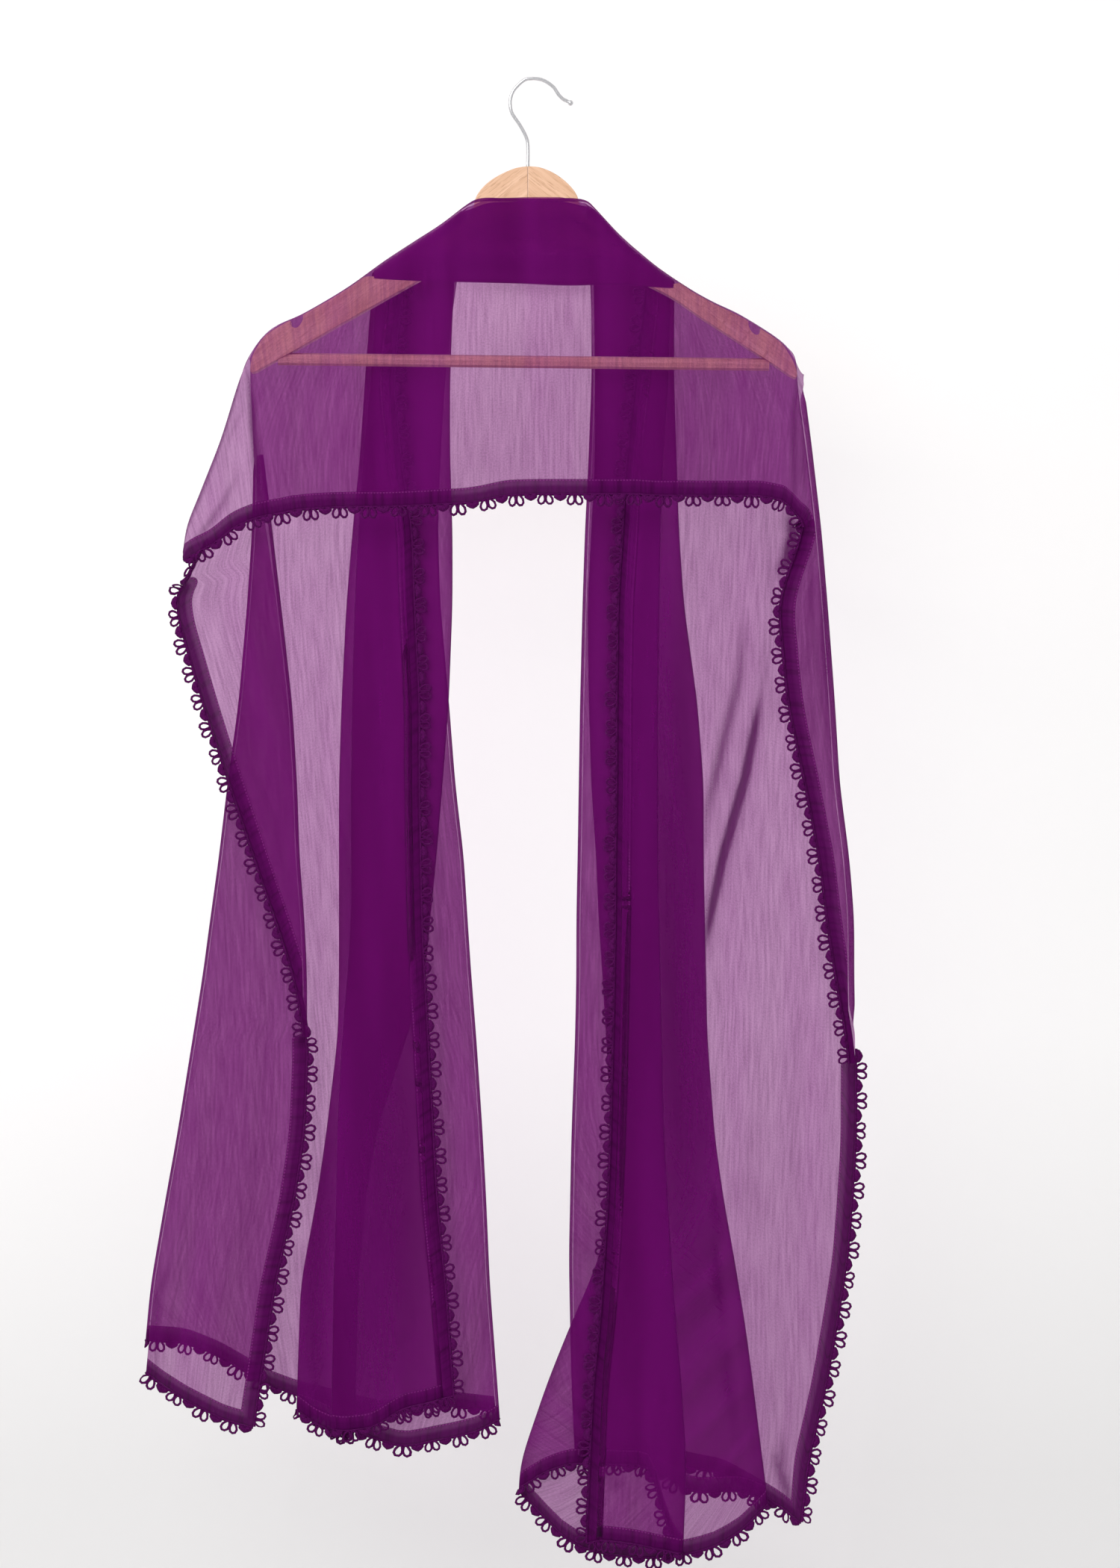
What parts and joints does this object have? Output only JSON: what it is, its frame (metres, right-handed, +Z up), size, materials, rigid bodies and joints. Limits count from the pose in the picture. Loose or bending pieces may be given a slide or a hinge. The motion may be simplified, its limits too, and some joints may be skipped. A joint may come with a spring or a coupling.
{
  "type": "dupatta stole on a wooden hanger",
  "caption": "Lace-edged chiffon dupatta stole hung over a wooden hanger, with a straight yoke in front and two long pleated panels hanging behind it.",
  "frame": {"origin": "the inside top of the hook's bend, where a rail or peg carries it", "axes": "+Z up, +X to the viewer's right as the front is looked at, +Y away from the viewer, through the hanger's thickness"},
  "size_m": [0.5826, 0.0437, 1.2026],
  "materials": {
    "purple_chiffon": "sheer crinkled chiffon",
    "plum_lace": "matt crochet lace",
    "beech_wood": "satin lacquer",
    "bar_wood": "satin",
    "bright_steel": "polished"
  },
  "bodies": {
    "root": {"yoke_front": "purple_chiffon", "collar_band": "purple_chiffon", "band_left": "purple_chiffon", "band_right": "purple_chiffon", "back_left": "purple_chiffon", "back_right": "purple_chiffon", "tuck_left": "purple_chiffon", "flap_left": "purple_chiffon", "flap_right": "purple_chiffon", "lace_yoke": "plum_lace", "lace_collar": "plum_lace", "lace_band_left": "plum_lace", "lace_band_left_end": "plum_lace", "lace_band_right": "plum_lace", "lace_band_right_end": "plum_lace", "lace_back_left_end": "plum_lace", "lace_back_right": "plum_lace", "lace_back_right_end": "plum_lace", "lace_tuck_left": "plum_lace", "lace_tuck_left_end": "plum_lace", "lace_flap_left": "plum_lace", "lace_flap_right": "plum_lace", "hanger_arm_left": "beech_wood", "hanger_arm_right": "beech_wood", "hanger_bar": "bar_wood", "hook_wire": "bright_steel", "hook_tip": "bright_steel"}
  },
  "joints": []
}
